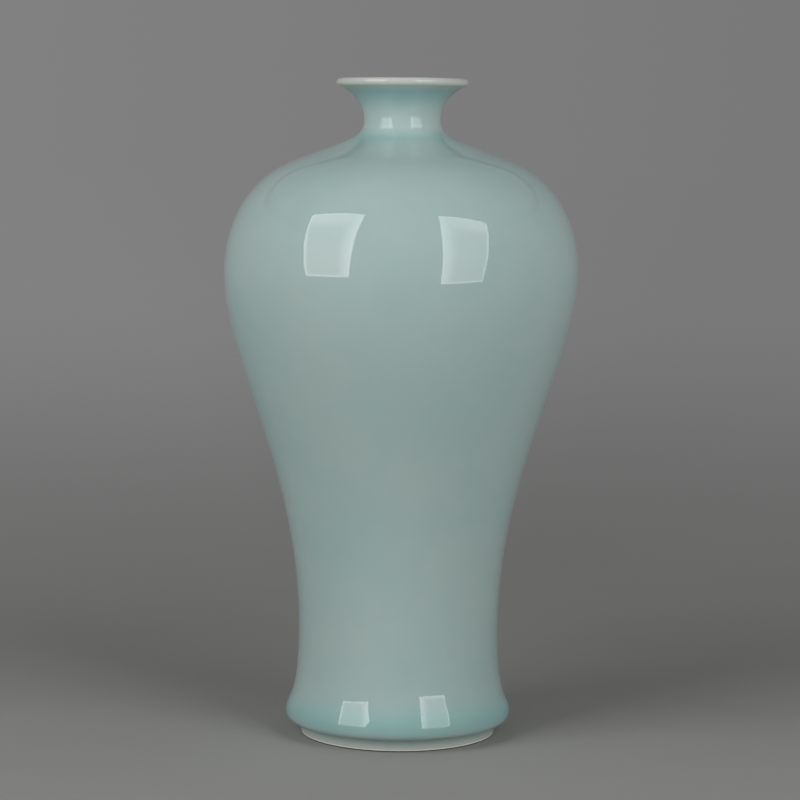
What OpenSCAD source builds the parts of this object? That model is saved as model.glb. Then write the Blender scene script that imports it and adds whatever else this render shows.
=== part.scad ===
// Porcelain vase of the meiping form: a small mouth with a thin turned-out rim, a high round
// shoulder, a narrow waist and a low foot under a rolled skirt. It is thrown in sections, the
// sections are joined with slip, and the whole is then glazed inside, outside and under the foot.
// Millimetres, +Z up. The vase stands on Z = 0 with its axis on Z.

/* [Heights] */
// Overall height, from the resting face to the top of the rim
height = 300; // [296:1:312]
// Height of the neck's narrowest ring
neck_z = 281.4; // [280.8:0.1:284]
// Height of the point on the shoulder where its curve turns from convex to hollow
shoulder_z = 263.5; // [260.5:0.1:264]
// Height of the widest ring of the belly
belly_z = 212.8; // [204:0.1:218]
// Height of the narrowest ring of the waist
waist_z = 48.5; // [46:0.1:60]
// Height of the widest ring of the skirt
skirt_z = 10.7; // [10.2:0.1:12.4]
// Height of the underside of the skirt's rolled edge
roll_z = 6.2; // [6:0.1:6.6]
// Height of the foot ring
foot_h = 4.9; // [4.4:0.1:5.1]

/* [Radii over the glaze] */
// Radius of the rim
rim_r = 30; // [28.5:0.1:32]
// Radius of the neck at its narrowest
neck_r = 17.4; // [16.5:0.1:19]
// Radius at the shoulder's turning point
shoulder_r = 48.2; // [46:0.1:50]
// Radius of the belly at its widest
belly_r = 80.6; // [78:0.1:88]
// Radius of the waist at its narrowest
waist_r = 45.9; // [45.2:0.1:47.5]
// Radius of the skirt at its widest
skirt_r = 51.7; // [51.3:0.1:53]
// Radius of the lowest line of the skirt's rolled edge
roll_r = 48; // [47.4:0.1:48.6]
// Radius of the foot ring's outer face
foot_r = 44.8; // [44.6:0.1:45]
// Radius of the recess inside the foot ring
foot_in_r = 38.4; // [34:0.1:40]

/* [Curves] */
// Slope of the shoulder at its turning point, in degrees below level
shoulder_fall = 20.5; // [18:0.5:24]
// Slope of the rim's underside where it meets the rim's edge, in degrees above level
flare_rise = 28; // [20:1:36]
// Length for which the roll runs level before it turns up
roll_hold = 2.1; // [1.6:0.1:2.7]
// Length for which the skirt stays upright below its widest ring
skirt_hold_down = 3.4; // [2.6:0.1:3.8]
// Length for which the skirt stays upright above its widest ring
skirt_hold_up = 6; // [5:0.1:7]
// Length for which the waist stays upright below its narrowest ring
waist_hold_down = 34; // [28:0.5:34.5]
// Length for which the waist stays upright above its narrowest ring
waist_hold_up = 74; // [65:0.5:80]
// Length for which the belly stays upright below its widest ring
belly_hold_down = 43; // [36:0.5:50]
// Length for which the belly stays upright above its widest ring
belly_hold_up = 16; // [14:0.5:22]
// Length for which the shoulder keeps its slope outside its turning point
shoulder_hold_out = 27.8; // [22:0.1:30]
// Length for which the shoulder keeps its slope inside its turning point
shoulder_hold_in = 28.4; // [28:0.1:30]
// Length for which the neck stays upright below its narrowest ring
neck_hold_down = 7.5; // [7:0.1:9.4]
// Length for which the neck stays upright above its narrowest ring
neck_hold_up = 6.6; // [5:0.1:7]
// Length for which the rim's underside keeps its slope
flare_hold = 7.3; // [6.5:0.1:8]

/* [Thicknesses] */
// Thickness of the rim at its edge
rim_t = 3.7; // [3.2:0.1:4.2]
// Wall of the body, with its outer glaze
wall = 5.1; // [4.6:0.1:5.8]
// Wall of the body just above the skirt, with its outer glaze
wall_low = 6; // [5.6:0.1:6.2]
// Wall of the neck, with its outer glaze
neck_wall = 4.45; // [4:0.05:4.8]
// Thickness of the base plate
plate_t = 6.5; // [5.5:0.1:7]
// Outer glaze on the plain surface of the body
glaze = 0.6; // [0.5:0.05:0.7]
// Outer glaze where it pools, round the skirt
glaze_pool = 0.85; // [0.8:0.05:1.2]
// Glaze where it runs thin, on the rim and the foot, and the glaze inside and under the base
glaze_thin = 0.35; // [0.25:0.05:0.4]
// Slip between two joined sections
slip = 0.6; // [0.4:0.1:0.8]

/* [Joints and foot] */
// Place of the joint between lower and upper body, as a share of the way from waist to belly
body_joint_at = 0.5; // [0.42:0.01:0.6]
// Height of the ridge of slip that stands inside the wall at a joint
bead = 1.1; // [0.6:0.1:1.4]
// Height at which the glaze on the foot stops
glaze_line = 1.3; // [0.8:0.1:1.4]
// Bevel on the edges of the resting face
foot_bevel = 0.5; // [0.4:0.1:0.7]

/* [Hidden] */
$fn = 128;

bare_clay = [0.93, 0.91, 0.86];
clay = [0.90, 0.89, 0.86];
slip_clay = [0.82, 0.80, 0.76];
celadon = [0.62, 0.72, 0.69];
clear_glaze = [0.80, 0.85, 0.83];

// Points [radius, height] between which the glazed surface runs, from the foot to the mouth
rim_mid_z = height - rim_t / 2;
rim_in_r = rim_r - rim_t / 2;
bore_r = neck_r - neck_wall - glaze_thin;
shoulder_dir = [cos(shoulder_fall), -sin(shoulder_fall)];
flare_dir = [cos(flare_rise), sin(flare_rise)];
quarter_turn = 0.5523 * rim_t / 2;
corner_hold = 1;

// The glazed surface as a chain of cubic curves. A station counts along it: 3.5 is halfway
// along the curve that begins at station 3, the skirt's widest ring.
curves = [
    // 0 foot wall
    [[foot_r, glaze_line], [foot_r, glaze_line + corner_hold],
     [foot_r, foot_h - corner_hold], [foot_r, foot_h]],
    // 1 corner under the roll
    [[foot_r, foot_h], [foot_r, foot_h + corner_hold],
     [roll_r - 2 * corner_hold, roll_z], [roll_r, roll_z]],
    // 2 rolled edge
    [[roll_r, roll_z], [roll_r + roll_hold, roll_z],
     [skirt_r, skirt_z - skirt_hold_down], [skirt_r, skirt_z]],
    // 3 skirt up to the waist
    [[skirt_r, skirt_z], [skirt_r, skirt_z + skirt_hold_up],
     [waist_r, waist_z - waist_hold_down], [waist_r, waist_z]],
    // 4 waist up to the belly
    [[waist_r, waist_z], [waist_r, waist_z + waist_hold_up],
     [belly_r, belly_z - belly_hold_down], [belly_r, belly_z]],
    // 5 belly up to the shoulder
    [[belly_r, belly_z], [belly_r, belly_z + belly_hold_up],
     [shoulder_r, shoulder_z] + shoulder_hold_out * shoulder_dir, [shoulder_r, shoulder_z]],
    // 6 shoulder in to the neck
    [[shoulder_r, shoulder_z], [shoulder_r, shoulder_z] - shoulder_hold_in * shoulder_dir,
     [neck_r, neck_z - neck_hold_down], [neck_r, neck_z]],
    // 7 underside of the rim
    [[neck_r, neck_z], [neck_r, neck_z + neck_hold_up],
     [rim_in_r, height - rim_t] - flare_hold * flare_dir, [rim_in_r, height - rim_t]],
    // 8 lower half of the rim's round edge
    [[rim_in_r, height - rim_t], [rim_in_r + quarter_turn, height - rim_t],
     [rim_r, rim_mid_z - quarter_turn], [rim_r, rim_mid_z]],
    // 9 upper half of the rim's round edge
    [[rim_r, rim_mid_z], [rim_r, rim_mid_z + quarter_turn],
     [rim_in_r + quarter_turn, height], [rim_in_r, height]],
    // 10 mouth, down into the bore of the neck
    [[rim_in_r, height], [rim_in_r - 6, height], [bore_r, neck_z + 7.4], [bore_r, neck_z]],
];

// Stations that the sections and joints are cut at
body_joint = 4 + body_joint_at;
neck_joint = 6.55;
mouth_joint = 7.5;
mouth_joint_inside = 10.55;
foot_joint_top = 1.4;
wall_start = 3.5;
rim_top = 10;

// Heights and radii of the base
plate_z = foot_h + slip;
floor_z = plate_z + plate_t;
plate_r = foot_r - 1.2;
socket_r = plate_r + slip;

// Glaze and wall along the stations. The glaze pools above the roll. It is a little thinner round
// the neck, and gathers at the neck's root and under the rim.
glaze_neck = (4 * glaze + glaze_thin) / 5;
glaze_gather = (glaze + glaze_pool) / 2;
glaze_by_station = [
    [0, glaze_thin], [0.5, glaze], [2.6, glaze], [3.1, glaze_pool], [3.25, glaze_pool],
    [3.62, glaze], [6.2, glaze], [6.5, glaze_gather], [6.8, glaze_neck], [7.2, glaze_neck],
    [7.7, glaze_gather], [7.88, glaze_gather], [7.96, glaze_thin], [10, glaze_thin],
];
wall_by_station = [[wall_start, wall_low], [3.8, wall], [6.6, wall], [7, neck_wall]];

function bezier(p, t) =
    pow(1 - t, 3) * p[0] + 3 * pow(1 - t, 2) * t * p[1] + 3 * (1 - t) * t * t * p[2] + pow(t, 3) * p[3];
function heading(p, t) =
    pow(1 - t, 2) * (p[1] - p[0]) + 2 * (1 - t) * t * (p[2] - p[1]) + t * t * (p[3] - p[2]);
function left(v) = [-v[1], v[0]] / norm(v);
function curve_of(s) = min(floor(s), len(curves) - 1);

// Point that lies a depth below the glazed surface at a station
function under(s, depth) =
    let (i = curve_of(s), t = s - i)
    bezier(curves[i], t) + depth * left(heading(curves[i], t));

// Ridge inside a joint, as a bump with smooth ends
function ridge(s, joint, half) =
    abs(s - joint) < half ? bead * (1 + cos(180 * (s - joint) / half)) / 2 : 0;

function skin(s) = under(s, 0);
function clay_out(s) = under(s, lookup(s, glaze_by_station));
function wall_depth(s) =
    lookup(s, wall_by_station) + ridge(s, body_joint, body_spread) + ridge(s, neck_joint, neck_spread);
function clay_in(s) = s < rim_top ? under(s, wall_depth(s)) : under(s, glaze_thin);
function cavity(s) = s < rim_top ? under(s, wall_depth(s) + glaze_thin) : skin(s);

// Half lengths of the joints, in stations, on the outside and on the inside of the wall
body_gap = 0.002;
body_spread = 0.028;
neck_gap = 0.008;
neck_spread = 0.06;
mouth_gap = 0.02;
mouth_spread = 0.02;

function steps(a, b, n) = [for (i = [0:n]) a + (b - a) * i / n];
function backward(list) = [for (i = [len(list) - 1:-1:0]) list[i]];
function out_line(list) = [for (s = list) clay_out(s)];
function in_line(list) = [for (s = list) clay_in(s)];

// Stations at which each piece's outline has a point, on the outside and inside of the wall
foot_out = [0, 0.5, 1];
foot_joint_out = steps(1, foot_joint_top, 3);
lower_out = concat(
    steps(foot_joint_top, 2, 4), steps(2.15, 3, 6), steps(3.08, 4, 11),
    steps(4.08, body_joint - body_gap, 6)
);
upper_out = concat(steps(body_joint + body_gap, 5, 7), steps(5.1, 6, 9), steps(6.1, neck_joint - neck_gap, 6));
neck_out = concat(steps(neck_joint + neck_gap, 7, 7), steps(7.12, mouth_joint - mouth_gap, 3));
rim_out = concat(steps(mouth_joint + mouth_gap, 7.9, 3), steps(8, 10, 12));
lower_in = concat(steps(wall_start, 4, 6), steps(4.08, body_joint - body_spread, 6));
body_joint_in = steps(body_joint - body_spread, body_joint + body_spread, 10);
upper_in = concat(steps(body_joint + body_spread, 5, 7), steps(5.1, 6, 9), steps(6.1, neck_joint - neck_spread, 6));
neck_joint_in = steps(neck_joint - neck_spread, neck_joint + neck_spread, 8);
neck_in = steps(neck_joint + neck_spread, 7, 6);
bore_in = steps(11, mouth_joint_inside + mouth_spread, 5);
rim_in = steps(mouth_joint_inside - mouth_spread, rim_top, 6);

// All stations of the outside and of the inside, in order from the foot and from the floor
all_out = concat(foot_out, foot_joint_out, lower_out, upper_out, neck_out, rim_out);
all_in = concat(lower_in, body_joint_in, upper_in, neck_joint_in, neck_in, bore_in, rim_in);

// Hollow corner of a pool of glaze: a quarter circle from level to upright
corner_r = 3;
function corner(centre, from, to) =
    [for (a = steps(from, to, 5)) centre + corner_r * [cos(a), sin(a)]];

module foot_ring() {
    color(bare_clay)
        rotate_extrude()
            polygon(concat(
                [[foot_in_r + foot_bevel, 0], [clay_out(0)[0] - foot_bevel, 0],
                 [clay_out(0)[0], foot_bevel]],
                out_line(foot_out),
                [[foot_in_r, foot_h], [foot_in_r, foot_bevel]]
            ));
}

module base_plate() {
    color(clay)
        translate([0, 0, plate_z])
            cylinder(h = plate_t, r = plate_r);
}

module lower_body() {
    color(clay)
        rotate_extrude()
            polygon(concat(
                [[socket_r, clay_out(foot_joint_top)[1]]],
                out_line(lower_out),
                backward(in_line(lower_in)),
                [[socket_r, floor_z]]
            ));
}

module upper_body() {
    color(clay)
        rotate_extrude()
            polygon(concat(out_line(upper_out), backward(in_line(upper_in))));
}

module neck() {
    color(clay)
        rotate_extrude()
            polygon(concat(out_line(neck_out), backward(in_line(concat(neck_in, bore_in)))));
}

module mouth_rim() {
    color(clay)
        rotate_extrude()
            polygon(concat(out_line(rim_out), backward(in_line(rim_in))));
}

// Slip that beds the base plate on the foot ring and in the lower body
module foot_slip_joint() {
    color(slip_clay)
        rotate_extrude()
            polygon(concat(
                [[foot_in_r, foot_h]],
                out_line(foot_joint_out),
                [[socket_r, clay_out(foot_joint_top)[1]], [socket_r, floor_z], [plate_r, floor_z],
                 [plate_r, plate_z], [foot_in_r, plate_z]]
            ));
}

// Slip between two sections: thin at the outside, spread to a ridge on the inside
module body_slip_joint() {
    color(slip_clay)
        rotate_extrude()
            polygon(concat(
                out_line([body_joint - body_gap, body_joint + body_gap]),
                backward(in_line(body_joint_in))
            ));
}

module neck_slip_joint() {
    color(slip_clay)
        rotate_extrude()
            polygon(concat(
                out_line([neck_joint - neck_gap, neck_joint + neck_gap]),
                backward(in_line(neck_joint_in))
            ));
}

module mouth_slip_joint() {
    color(slip_clay)
        rotate_extrude()
            polygon(concat(
                out_line([mouth_joint - mouth_gap, mouth_joint + mouth_gap]),
                in_line([mouth_joint_inside - mouth_spread, mouth_joint_inside + mouth_spread])
            ));
}

module outer_glaze() {
    color(celadon)
        rotate_extrude()
            polygon(concat([for (s = all_out) skin(s)], backward(out_line(all_out))));
}

module inner_glaze() {
    top_z = floor_z + glaze_thin;
    wall_r = cavity(wall_start)[0];
    color(clear_glaze)
        rotate_extrude()
            polygon(concat(
                [[0, floor_z], [socket_r, floor_z]],
                in_line(all_in),
                backward([for (s = all_in) cavity(s)]),
                backward(corner([wall_r - corner_r, top_z + corner_r], -90, 0)),
                [[0, top_z]]
            ));
}

module base_glaze() {
    under_z = plate_z - glaze_thin;
    wall_r = foot_in_r - glaze_thin;
    color(celadon)
        rotate_extrude()
            polygon(concat(
                [[0, plate_z], [0, under_z]],
                corner([wall_r - corner_r, under_z - corner_r], 90, 0),
                [[foot_in_r, under_z - corner_r], [foot_in_r, plate_z]]
            ));
}

foot_ring();
base_plate();
lower_body();
upper_body();
neck();
mouth_rim();
foot_slip_joint();
body_slip_joint();
neck_slip_joint();
mouth_slip_joint();
outer_glaze();
inner_glaze();
base_glaze();
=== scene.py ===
"""A celadon-glazed porcelain vase of the meiping form: its looks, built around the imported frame.
Metres, +Z up. The vase stands on Z = 0 with its axis on Z, and is seen from -Y."""

import math

import bpy
import numpy as np
from mathutils import Matrix, Vector


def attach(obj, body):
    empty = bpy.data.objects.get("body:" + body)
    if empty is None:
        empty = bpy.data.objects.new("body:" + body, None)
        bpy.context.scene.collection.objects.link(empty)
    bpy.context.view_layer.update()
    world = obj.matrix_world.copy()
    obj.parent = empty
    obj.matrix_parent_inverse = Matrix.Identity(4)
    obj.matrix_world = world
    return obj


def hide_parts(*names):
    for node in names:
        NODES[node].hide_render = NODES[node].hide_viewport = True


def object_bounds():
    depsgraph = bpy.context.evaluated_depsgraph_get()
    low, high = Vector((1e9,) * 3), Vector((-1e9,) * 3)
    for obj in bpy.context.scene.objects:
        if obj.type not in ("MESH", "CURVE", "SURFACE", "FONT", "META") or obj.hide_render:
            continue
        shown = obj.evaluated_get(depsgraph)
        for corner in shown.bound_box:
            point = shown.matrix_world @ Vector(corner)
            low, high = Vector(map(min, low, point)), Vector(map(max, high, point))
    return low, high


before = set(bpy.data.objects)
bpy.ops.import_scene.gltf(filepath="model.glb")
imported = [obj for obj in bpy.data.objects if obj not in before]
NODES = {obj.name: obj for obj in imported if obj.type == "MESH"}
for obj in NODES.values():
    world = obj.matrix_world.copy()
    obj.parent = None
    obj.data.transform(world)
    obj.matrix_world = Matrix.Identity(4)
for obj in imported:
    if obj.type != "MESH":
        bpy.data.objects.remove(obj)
CAD_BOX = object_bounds()
HEIGHT = CAD_BOX[1].z
MM = 0.001

# Thrown surfaces
TURN = 288  # corners in one ring
RING_STEP = 1.45 * MM  # longest way between two rings of a seen surface
END_RINGS = 6  # times finer at an open end, so that neighbouring skins shade alike there
BACK_SLACK = 0.08 * MM  # how far the hidden side of a skin may stray from its outline
STRAIGHT = 0.0005  # sine of the least turn that makes a ring a corner of its outline
SAME_RING = 0.02 * MM  # corners this near to each other, seen from the side, are in one ring
LEVEL_STEP = 3 * MM  # longest way between two rings added on a level face
SHARP = 40  # degrees from one face to the next that make a sharp edge
PLAIN_GLAZE = 0.6 * MM  # depth of the glaze on the plain body

# Traces of throwing and turning, as depths and widths
WAVES = 14  # added up in one uneven field
OVAL = 0.045 * MM
SWELL = 0.05 * MM
SWELL_SIZE = 30 * MM
RIDGE = 0.010 * MM
RIDGE_PITCH = 9.5 * MM
RIDGE_DRIFT = 90 * MM  # over which the ridges wander off level
INSIDE_RIDGE = 0.22 * MM
INSIDE_PITCH = 6.5 * MM
INSIDE_DRIFT = 70 * MM
SPIRAL = 0.05 * MM  # left by the turning tool under the base
SPIRAL_PITCH = 2.6 * MM
SPIRAL_FULL = 4 * MM  # radius from which it has its full depth
BASE_SWELL = 0.03 * MM
BASE_SWELL_SIZE = 14 * MM
STILL_RIM = 12 * MM  # the rim and the foot run true over this height
STILL_FOOT = 6 * MM
ASIDE = 0.4 * MM  # how far the shoulder has sagged to +X
ASIDE_AT = 0.82  # in vase heights
ASIDE_OVER = 0.10

# Camera: places in vase heights, angles in degrees
EYE_BACK = 4.035
EYE_UP = 0.9263
LOOK_DOWN = 5.855
LEAN = 0.46
LENS = 119.6  # millimetres
SENSOR = 36

# Softboxes: places and sizes in vase heights, angles in degrees.
# side: round the vase from the camera's side, turn: how far it looks past the vase's axis
SOFTBOXES = {
    "softbox_left": dict(
        side=-50.6, away=2.92, up=1.87, turn=18.5, tilt=29.2,
        size=(1.88, 2.76), glow=2.42, edges=(0.12, 0.25),
    ),
    "softbox_right": dict(
        side=43.4, away=3.01, up=1.70, turn=-29.0, tilt=26.3,
        size=(1.88, 2.80), glow=2.22, edges=(0.25, 0.08),
    ),
}
EDGE_GLOW = 2.3  # how much brighter a softbox is along its sides
TOP_GLOW = 1.6  # and along its top
TOP_SHARE = 0.25  # height of the bright top, as a share of the softbox's height
SEAM = 0.05  # height of the bright line along its top and bottom seams

# The studio is square with round corners. Its walls end at a dark gap, and the ceiling is lit
# where it begins above the gap. Heights are shares of the walls' distance
CORNERS = 4  # at 2 the studio would be round, and at more it is squarer
WALL_GREY = 0.205
WALL_TILT = 0.07  # how much the walls darken from left to right behind the vase
TILT_WIDTH = 0.15  # half the width over which they darken
WALL_TOP = 0.575
GAP_TOP = 0.67
GAP_GREY = 0.02
GAP_EDGE = 0.02  # softness of the gap's edges
CEILING_LIT = 0.21
CEILING_GREY = 0.10
CEILING_FADE = 1.0  # height at which the ceiling has darkened

# Floor that fades into the walls by a painted glow, in vase heights
FLOOR_R = 50
FADE_START = 0.5
FADE_END = 11


# ------------------------------------------------------------ outlines, read from the frame

def outline(name):
    """A turned CAD node's outline as [radius, height] rows, in order round it. An outline that
    stops at the axis starts at its lower end there. A closed one starts low on the outside."""
    mesh = NODES[name].data
    rings, ring_of = [], []
    for v in mesh.vertices:
        point = (math.hypot(v.co.x, v.co.y), v.co.z)
        near = [i for i, ring in enumerate(rings) if math.dist(ring, point) < SAME_RING]
        if not near:
            rings.append(point)
        ring_of.append(near[0] if near else len(rings) - 1)
    beside = [set() for _ in rings]
    for edge in mesh.edges:
        a, b = (ring_of[v] for v in edge.vertices)
        if a != b:
            beside[a].add(b)
            beside[b].add(a)
    ends = [i for i, near in enumerate(beside) if len(near) == 1]
    start = min(ends or range(len(rings)), key=lambda i: (round(rings[i][1], 5), -rings[i][0]))
    path = [start]
    step = max(beside[start], key=lambda i: rings[i][0] + rings[i][1])
    while step is not None:
        path.append(step)
        ahead = [i for i in beside[step] if i not in path]
        step = ahead[0] if ahead else None
    points = np.array([rings[i] for i in path])
    before, after = points - np.roll(points, 1, 0), np.roll(points, -1, 0) - points
    turn = before[:, 0] * after[:, 1] - before[:, 1] * after[:, 0]
    turn /= np.linalg.norm(before, axis=1) * np.linalg.norm(after, axis=1)
    corner = np.abs(turn) > STRAIGHT
    if ends:
        corner[[0, -1]] = True
    points = points[corner]
    if ends:
        points = np.vstack([to_axis(points[0])[::-1], points, to_axis(points[-1])])
    return points


def to_axis(point):
    """Points from a ring, which isn't among them, along a level face to the axis."""
    count = math.ceil(point[0] / LEVEL_STEP)
    return np.array([(point[0] * (1 - i / count), point[1]) for i in range(1, count + 1)])


def smooth(points, step, fine_start=1, fine_end=1):
    """A smooth curve through the points, with rings at most a step apart. The first and last
    stretch can have them a whole number of times finer."""
    gaps = np.linalg.norm(np.diff(points, axis=0), axis=1)
    slopes = np.diff(points, axis=0) / gaps[:, None]
    inner = slopes[:-1] * gaps[1:, None] + slopes[1:] * gaps[:-1, None]
    inner /= (gaps[1:] + gaps[:-1])[:, None]
    slopes = np.vstack([2 * slopes[0] - inner[0], inner, 2 * slopes[-1] - inner[-1]])
    curve = [points[:1]]
    for i, gap in enumerate(gaps):
        count = math.ceil(gap / step)
        count *= fine_start if i == 0 else fine_end if i == len(gaps) - 1 else 1
        t = np.arange(1, count + 1)[:, None] / count
        curve.append(
            (2 * t**3 - 3 * t**2 + 1) * points[i] + (t**3 - 2 * t**2 + t) * gap * slopes[i]
            + (3 * t**2 - 2 * t**3) * points[i + 1] + (t**3 - t**2) * gap * slopes[i + 1]
        )
    return np.vstack(curve)


def thinned(points, slack):
    """As few of the points as stay within the slack of the outline, with both ends kept."""
    along = points[-1] - points[0]
    off = points - points[0]
    away = np.abs(along[0] * off[:, 1] - along[1] * off[:, 0]) / max(np.linalg.norm(along), 1e-9)
    worst = int(away.argmax())
    if len(points) < 3 or away[worst] <= slack:
        return points[[0, -1]]
    return np.vstack([thinned(points[: worst + 1], slack)[:-1], thinned(points[worst:], slack)])


def depth_over(points, back):
    """Distance of each point from the polyline behind it."""
    a, b = back[:-1], back[1:]
    along = b - a
    t = ((points[:, None] - a) * along).sum(2) / np.maximum((along**2).sum(1), 1e-14)
    nearest = a + np.clip(t, 0, 1)[:, :, None] * along
    return np.linalg.norm(points[:, None] - nearest, axis=2).min(1)


# ------------------------------------------------------------ surfaces with the traces of the hand

def waves(x, y, z, size, seed):
    """A smooth irregular field from -1 to 1: waves of about one length in many directions."""
    draw = np.random.default_rng(seed)
    total = np.zeros(np.shape(x))
    for _ in range(WAVES):
        way = draw.normal(size=3)
        way *= draw.uniform(0.7, 1.4) / np.linalg.norm(way)
        shift = draw.uniform(0, 2 * math.pi)
        total += np.sin((x * way[0] + y * way[1] + z * way[2]) * 2 * math.pi / size + shift)
    return total / WAVES * 1.6


def eased(value):
    value = np.clip(value, 0, 1)
    return value * value * (3 - 2 * value)


def outside_traces(x, y, z):
    """How far the outer skin stands off its true outline. It is slightly oval and lopsided, with
    faint ridges."""
    angle = np.arctan2(y, x)
    still = eased(z / STILL_FOOT - 0.5) * eased((HEIGHT - z) / STILL_RIM - 0.3)
    oval = OVAL * (np.cos(2 * angle + 0.7) + 0.5 * np.cos(3 * angle + 2.1))
    drift = 1.5 * waves(x, y, z, RIDGE_DRIFT, 3)
    ridge = RIDGE * np.sin(z / RIDGE_PITCH * 2 * math.pi + angle + drift)
    aside = ASIDE * np.cos(angle) * np.exp(-(((z / HEIGHT - ASIDE_AT) / ASIDE_OVER) ** 2))
    return still * (oval + aside + SWELL * waves(x, y, z, SWELL_SIZE, 5) + ridge)


def inside_traces(x, y, z):
    """Ridges that the fingers left inside, which nobody turned away."""
    angle = np.arctan2(y, x)
    still = eased((HEIGHT - z) / STILL_RIM - 0.5)
    drift = 2 * waves(x, y, z, INSIDE_DRIFT, 7)
    ridge = 0.5 + 0.5 * np.sin(z / INSIDE_PITCH * 2 * math.pi - angle + drift)
    return still * INSIDE_RIDGE * ridge


def base_traces(x, y, z):
    """The spiral of the turning tool under the base."""
    away = np.hypot(x, y)
    spiral = SPIRAL * np.sin(away / SPIRAL_PITCH * 2 * math.pi + np.arctan2(y, x))
    swell = BASE_SWELL * waves(x, y, z, BASE_SWELL_SIZE, 11)
    return spiral * eased(away / SPIRAL_FULL) + swell


def turned(name, rings, moved=None, traces=None, depths=None, closed=True):
    """A turned mesh from [radius, height] rings. The first `moved` rings carry the traces. The
    depths are the glaze's, for as many rings as there are."""
    rings = np.asarray(rings, float)
    tangent = np.gradient(rings, axis=0)
    tangent /= np.maximum(np.linalg.norm(tangent, axis=1), 1e-9)[:, None]
    angles = np.arange(TURN) * 2 * math.pi / TURN
    cos, sin = np.cos(angles), np.sin(angles)
    x, y = rings[:, :1] * cos, rings[:, :1] * sin
    z = np.repeat(rings[:, 1:], TURN, 1)
    if traces:
        off = traces(x[:moved], y[:moved], z[:moved])
        x[:moved] += off * tangent[:moved, 1:] * cos
        y[:moved] += off * tangent[:moved, 1:] * sin
        z[:moved] -= off * tangent[:moved, :1]
    points, row_of = [], []
    for i, (radius, _) in enumerate(rings):
        pole = radius < 0.01 * MM
        start = len(points)
        row = [(x[i, j], y[i, j], z[i, j]) for j in range(1 if pole else TURN)]
        if pole:
            row = [(0.0, 0.0, float(z[i].mean()))]
        points += row
        row_of.append([start] * TURN if pole else list(range(start, start + TURN)))
    faces = []
    count = len(rings)
    for i in range(count if closed else count - 1):
        low, high = row_of[i], row_of[(i + 1) % count]
        if low[0] == low[1] and high[0] == high[1]:
            continue
        for j in range(TURN):
            k = (j + 1) % TURN
            face = dict.fromkeys((low[j], low[k], high[k], high[j]))
            faces.append(tuple(face))
    mesh = bpy.data.meshes.new(name)
    mesh.from_pydata(points, [], faces)
    if depths is not None:
        shares = np.concatenate([
            np.full(1 if row[0] == row[1] else TURN, depths[i] if i < len(depths) else 0)
            for i, row in enumerate(row_of)
        ])
        depth = mesh.attributes.new("glaze_depth", "FLOAT", "POINT")
        depth.data.foreach_set("value", shares / PLAIN_GLAZE)
    mesh.polygons.foreach_set("use_smooth", [True] * len(mesh.polygons))
    mesh.set_sharp_from_angle(angle=math.radians(SHARP))
    piece = bpy.data.objects.new(name, mesh)
    bpy.context.scene.collection.objects.link(piece)
    return piece


# ------------------------------------------------------------ materials

NOISE_RANGE = (0.3, 0.7)  # where nearly all of a noise field lies


class Shader:
    """The nodes of a material, a light or the world, added one call at a time."""

    def __init__(self, owner, surface="Principled BSDF"):
        self.owner = owner
        self.owner.use_nodes = True
        self.tree = self.owner.node_tree
        self.surface = self.tree.nodes[surface]

    def add(self, kind, inputs=(), **settings):
        node = self.tree.nodes.new("ShaderNode" + kind)
        for key, value in settings.items():
            setattr(node, key, value)
        self.fill(node, inputs)
        return node

    def fill(self, node, inputs):
        for socket, value in dict(inputs).items():
            if isinstance(value, bpy.types.NodeSocket):
                self.tree.links.new(value, node.inputs[socket])
            else:
                node.inputs[socket].default_value = value

    def place(self):
        return self.add("TexCoord").outputs["Object"]

    def noise(self, size, detail=2.0, rough=0.5, place=None):
        """A noise field from 0 to 1 whose grains are about this size."""
        place = place or self.place()
        inputs = {"Vector": place, "Scale": 1 / size, "Detail": detail, "Roughness": rough}
        return self.add("TexNoise", inputs).outputs["Fac"]

    def math(self, work, a, b=0.0, c=0.0):
        return self.add("Math", {0: a, 1: b, 2: c}, operation=work).outputs[0]

    def spread(self, field, low, high, start=0.0, end=1.0):
        """The field from start to end, spread evenly from low to high."""
        inputs = {"Value": field, "From Min": start, "From Max": end, "To Min": low, "To Max": high}
        return self.add("MapRange", inputs).outputs["Result"]

    def mottle(self, size, low, high, detail=2.0, rough=0.5):
        """An uneven field, mostly between low and high."""
        return self.spread(self.noise(size, detail, rough), low, high, *NOISE_RANGE)

    def ramp(self, field, stops):
        """Colours at places along a field, blended smoothly between."""
        node = self.add("ValToRGB", {"Fac": field})
        band = node.color_ramp
        while len(band.elements) < len(stops):
            band.elements.new(0.5)
        for element, (at, colour) in zip(band.elements, stops):
            element.position = at
            element.color = (*colour, 1)
        return node.outputs["Color"]

    def mix(self, share, a, b, blend="MIX"):
        node = self.add("Mix", {0: share}, data_type="RGBA", blend_type=blend)
        for socket, value in ((node.inputs[6], a), (node.inputs[7], b)):
            if isinstance(value, bpy.types.NodeSocket):
                self.tree.links.new(value, socket)
            else:
                socket.default_value = (*value, 1)
        return node.outputs[2]

    def bump(self, *layers):
        """Bumps over each other, each a field and its depth in metres."""
        normal = None
        for field, depth in layers:
            inputs = {"Height": field, "Distance": depth, "Strength": 1.0}
            if normal:
                inputs["Normal"] = normal
            normal = self.add("Bump", inputs).outputs["Normal"]
        return normal

    def finish(self, **inputs):
        self.fill(self.surface, {key.replace("_", " "): value for key, value in inputs.items()})
        return self.owner


# Colours of the glaze by its depth, where 0.5 is the depth on the plain body
GLAZE_COLOURS = (
    (0.29, (0.61, 0.65, 0.60)),
    (0.375, (0.52, 0.61, 0.57)),
    (0.50, (0.435, 0.575, 0.556)),
    (0.62, (0.345, 0.545, 0.53)),
    (0.75, (0.295, 0.505, 0.475)),
)


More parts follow.
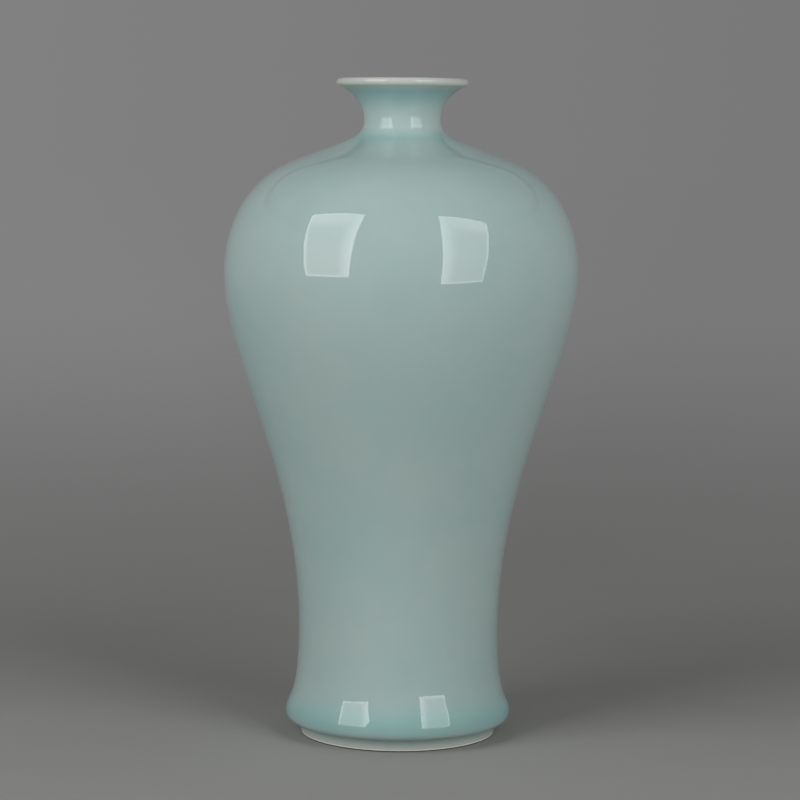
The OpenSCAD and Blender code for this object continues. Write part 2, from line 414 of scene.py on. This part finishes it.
def glaze(name):
    """Glossy celadon: paler where it is thin, deeper where it has pooled."""
    s = Shader(bpy.data.materials.new(name))
    depth = s.add("Attribute", attribute_name="glaze_depth").outputs["Fac"]
    cloud = s.mottle(48 * MM, -0.07, 0.07, 3)
    streak = s.mottle(9 * MM, -0.02, 0.02)
    uneven = s.math("MULTIPLY_ADD", depth, s.math("ADD", cloud, streak), depth)
    tint = s.ramp(s.math("MULTIPLY", uneven, 0.5), GLAZE_COLOURS)
    bubbles = s.mottle(0.45 * MM, 0.985, 1.015, 1)
    bubbles = s.add("CombineColor", {0: bubbles, 1: bubbles, 2: bubbles}).outputs[0]
    tint = s.mix(1.0, tint, bubbles, "MULTIPLY")
    speck = s.add("TexVoronoi", {"Vector": s.place(), "Scale": 1 / (16 * MM)})
    dark = s.spread(speck.outputs["Distance"], 0.5, 0.0, 0.008, 0.016)
    tint = s.mix(dark, tint, (0.16, 0.15, 0.11))
    gloss = s.mottle(22 * MM, 0.015, 0.035, 4, 0.6)
    normal = s.bump((s.noise(7 * MM, 2), 0.016 * MM), (s.noise(1.1 * MM, 2), 0.0012 * MM))
    return s.finish(Base_Color=tint, Roughness=gloss, Normal=normal, IOR=1.5)


def biscuit(name, colour, shade, grain):
    """Fired clay without glaze: fine grain and a soft uneven tone."""
    s = Shader(bpy.data.materials.new(name))
    tone = s.mottle(11 * MM, 0, 1, 4, 0.6)
    tint = s.mix(tone, colour, shade)
    fleck = s.spread(s.noise(0.5 * MM, 2), 0.0, 0.35, 0.62, 0.75)
    tint = s.mix(fleck, tint, tuple(0.6 * c for c in shade))
    rough = s.spread(s.noise(2 * MM, 3), 0.62, 0.82)
    normal = s.bump((s.noise(grain, 3), 0.03 * MM), (s.noise(6 * MM, 2), 0.05 * MM))
    return s.finish(Base_Color=tint, Roughness=rough, Normal=normal)


def bare_foot():
    """The bare foot: white, a little toasted along the glaze line, with its lowest half millimetre
    darkened nearly to black as a painted shadow where it meets the floor.
    """
    s = Shader(bpy.data.materials.new("bare_porcelain"))
    tone = s.mottle(7 * MM, 0, 1, 4, 0.6)
    tint = s.mix(tone, (0.93, 0.92, 0.88), (0.85, 0.83, 0.78))
    height = s.add("SeparateXYZ", {0: s.place()}).outputs["Z"]
    toasted = s.spread(height, 0.0, 0.2, 1.0 * MM, 1.3 * MM)
    tint = s.mix(toasted, tint, (0.60, 0.51, 0.40))
    # painted shadow: near black over the lowest half millimetre, standing for the shade where the
    # foot meets the floor
    painted_contact_shadow = s.spread(height, 1.0, 0.0, 0.38 * MM, 0.5 * MM)
    painted_contact_shadow = s.math("MULTIPLY", painted_contact_shadow, s.spread(s.noise(3 * MM, 4, 0.7), 0.93, 1, 0.4, 0.62))
    tint = s.mix(painted_contact_shadow, tint, (0.02, 0.018, 0.015))
    rough = s.spread(s.noise(1.5 * MM, 3), 0.6, 0.85)
    normal = s.bump((s.noise(0.35 * MM, 3), 0.02 * MM), (s.noise(2.5 * MM, 2), 0.03 * MM))
    return s.finish(Base_Color=tint, Roughness=rough, Normal=normal)


def studio_floor():
    """Plain pale grey paper with a faint cloudiness. Far off its colour darkens to black and it
    glows with the walls' grey instead. This painted glow sets how the floor's brightness falls off
    with distance and fades it into the studio's walls.
    """
    s = Shader(bpy.data.materials.new("studio_floor"))
    tone = s.mottle(160 * MM, 0, 1, 4, 0.6)
    tint = s.mix(tone, (0.356, 0.355, 0.343), (0.376, 0.375, 0.362))
    away = s.add("VectorMath", {0: s.place()}, operation="LENGTH").outputs["Value"]
    painted_glow_share = s.add("MapRange", {
        "Value": s.math("LOGARITHM", away, 10.0),
        "From Min": math.log10(FADE_START * HEIGHT), "From Max": math.log10(FADE_END * HEIGHT),
    }, interpolation_type="SMOOTHSTEP").outputs["Result"]
    # painted glow: far off the floor's own colour turns black and it emits the walls' grey
    tint = s.mix(painted_glow_share, tint, (0, 0, 0))
    glow = s.mix(painted_glow_share, (0, 0, 0), wall_grey(s, s.place()))
    return s.finish(Base_Color=tint, Roughness=1.0, Specular_IOR_Level=0.0,
                    Emission_Color=glow, Emission_Strength=1.0)


def wall_grey(s, way):
    """Brightness of the studio's wall in this direction from the vase."""
    level = s.add("VectorMath", {0: way, 1: (1, 1, 0)}, operation="MULTIPLY").outputs[0]
    level = s.add("VectorMath", {0: level}, operation="NORMALIZE").outputs[0]
    side = s.add("SeparateXYZ", {0: level}).outputs["X"]
    left, right = WALL_GREY * (1 + WALL_TILT), WALL_GREY * (1 - WALL_TILT)
    return s.spread(side, left, right, -TILT_WIDTH, TILT_WIDTH)


# ------------------------------------------------------------ pieces

def make_outer_glaze():
    points = outline("outer_glaze")
    top = int(points[:, 1].argmax())
    seen = smooth(points[: top + 1], RING_STEP, END_RINGS, END_RINGS)
    back = points[top + 1:]
    depths = depth_over(seen, smooth(back, RING_STEP))
    rings = np.vstack([seen, thinned(back, BACK_SLACK)])
    return turned("celadon_outer_glaze", rings, len(seen), outside_traces, depths)


def make_inner_glaze():
    points = outline("inner_glaze")
    top = int(points[:, 1].argmax())
    seen = smooth(points[top:], RING_STEP, END_RINGS, 1)
    back = points[:top]
    depths = depth_over(seen, smooth(back, RING_STEP))
    rings = np.vstack([seen, thinned(back, BACK_SLACK)])
    return turned("celadon_inner_glaze", rings, len(seen), inside_traces, depths)


def make_base_glaze():
    points = outline("base_glaze")
    wall = int(points[:, 0].argmax())
    seen = smooth(points[:wall], RING_STEP / 2)
    back = points[wall:]
    depths = depth_over(seen, back)
    return turned("celadon_base_glaze", np.vstack([seen, back]), len(seen), base_traces, depths)


def make_foot():
    points = outline("foot_ring")
    return turned("bare_foot_ring", points)


def dress(piece, material, slot, *replaced):
    piece.data.materials.append(material)
    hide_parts(*replaced)
    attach(piece, "root")


def coat_node(name, material):
    mesh = NODES[name].data
    mesh.materials.clear()
    mesh.materials.append(material)


# ------------------------------------------------------------ studio

def make_floor():
    rings = np.array([(r, 0) for r in (0, 1, 3, 7, 15, FLOOR_R)])
    floor = turned("studio_floor", rings * HEIGHT, closed=False)
    floor.data.materials.append(studio_floor())


def direction(side, down=0.0):
    """From a place at this angle round the vase, towards the axis and down."""
    a, d = math.radians(side), math.radians(down)
    return Vector((-math.sin(a) * math.cos(d), math.cos(a) * math.cos(d), -math.sin(d)))


def make_softbox(name, side, away, up, turn, tilt, size, glow, edges):
    """A lit panel, brighter along its edges and top. `edges` are the widths of the bright left
    and right sides, as it shines, as shares of its own width."""
    light = bpy.data.lights.new(name, "AREA")
    s = Shader(light, "Emission")
    along = s.add("SeparateXYZ", {0: s.add("NewGeometry").outputs["Parametric"]})
    across, upward = along.outputs["X"], along.outputs["Y"]
    edge = s.math("MAXIMUM", s.spread(across, EDGE_GLOW, 1, 0, edges[0]),
                  s.spread(across, 1, EDGE_GLOW, 1 - edges[1], 1))
    edge = s.math("MAXIMUM", edge, s.spread(upward, 1, TOP_GLOW, 1 - TOP_SHARE, 1 - TOP_SHARE / 2))
    seam = s.math("MAXIMUM", s.spread(upward, EDGE_GLOW, 1, 0, SEAM),
                  s.spread(upward, 1, EDGE_GLOW, 1 - SEAM, 1))
    s.finish(Strength=s.math("MAXIMUM", edge, seam))
    light.shape = "RECTANGLE"
    light.size, light.size_y = HEIGHT * size[0], HEIGHT * size[1]
    light.energy = glow * math.pi * light.size * light.size_y
    lamp = bpy.data.objects.new(name, light)
    lamp.location = HEIGHT * (Vector((0, 0, up)) - away * direction(side))
    lamp.rotation_euler = direction(side + turn, tilt).to_track_quat("-Z", "Y").to_euler()
    lamp.visible_camera = False
    bpy.context.scene.collection.objects.link(lamp)


def make_walls():
    """Grey walls on four sides, a dark gap above them and a grey ceiling."""
    world = bpy.data.worlds.new("studio_walls")
    s = Shader(world, "Background")
    way = s.add("TexCoord").outputs["Generated"]
    parts = s.add("SeparateXYZ", {0: way}).outputs
    x, y = (s.math("POWER", parts[axis], CORNERS) for axis in "XY")
    level = s.math("POWER", s.math("ADD", x, y), 1 / CORNERS)
    height = s.math("DIVIDE", parts["Z"], level)
    above_wall = s.spread(height, 0, 1, WALL_TOP - GAP_EDGE / 2, WALL_TOP + GAP_EDGE / 2)
    above_gap = s.spread(height, 0, 1, GAP_TOP - GAP_EDGE, GAP_TOP + GAP_EDGE)
    ceiling = s.spread(height, CEILING_LIT, CEILING_GREY, GAP_TOP, CEILING_FADE)
    upper = s.mix(above_gap, (GAP_GREY, GAP_GREY, GAP_GREY), ceiling)
    s.finish(Color=s.mix(above_wall, wall_grey(s, way), upper))
    bpy.context.scene.world = world


def make_camera():
    lens = bpy.data.cameras.new("camera")
    lens.lens = LENS
    lens.sensor_width = SENSOR
    camera = bpy.data.objects.new("camera", lens)
    pitch = Matrix.Rotation(math.radians(90 - LOOK_DOWN), 4, "X")
    roll = Matrix.Rotation(math.radians(LEAN), 4, "Z")
    camera.matrix_world = Matrix.Translation(HEIGHT * Vector((0, -EYE_BACK, EYE_UP))) @ pitch @ roll
    bpy.context.scene.collection.objects.link(camera)
    bpy.context.scene.camera = camera


celadon = glaze("celadon_glaze")
inner = glaze("inner_glaze")
dress(make_outer_glaze(), celadon, "celadon_glaze", "outer_glaze")
dress(make_inner_glaze(), inner, "inner_glaze", "inner_glaze")
dress(make_base_glaze(), celadon, "celadon_glaze", "base_glaze")
dress(make_foot(), bare_foot(), "bare_porcelain", "foot_ring")

clay = biscuit("porcelain_body", (0.76, 0.74, 0.69), (0.70, 0.68, 0.63), 0.4 * MM)
for section in ("base_plate", "lower_body", "upper_body", "neck", "mouth_rim"):
    coat_node(section, clay)
slip = biscuit("slip", (0.66, 0.63, 0.57), (0.58, 0.55, 0.49), 0.8 * MM)
for joint in ("foot_slip_joint", "body_slip_joint", "neck_slip_joint", "mouth_slip_joint"):
    coat_node(joint, slip)

make_floor()
for name, facts in SOFTBOXES.items():
    make_softbox(name, **facts)
make_walls()
make_camera()
bpy.context.scene.view_settings.view_transform = "Standard"
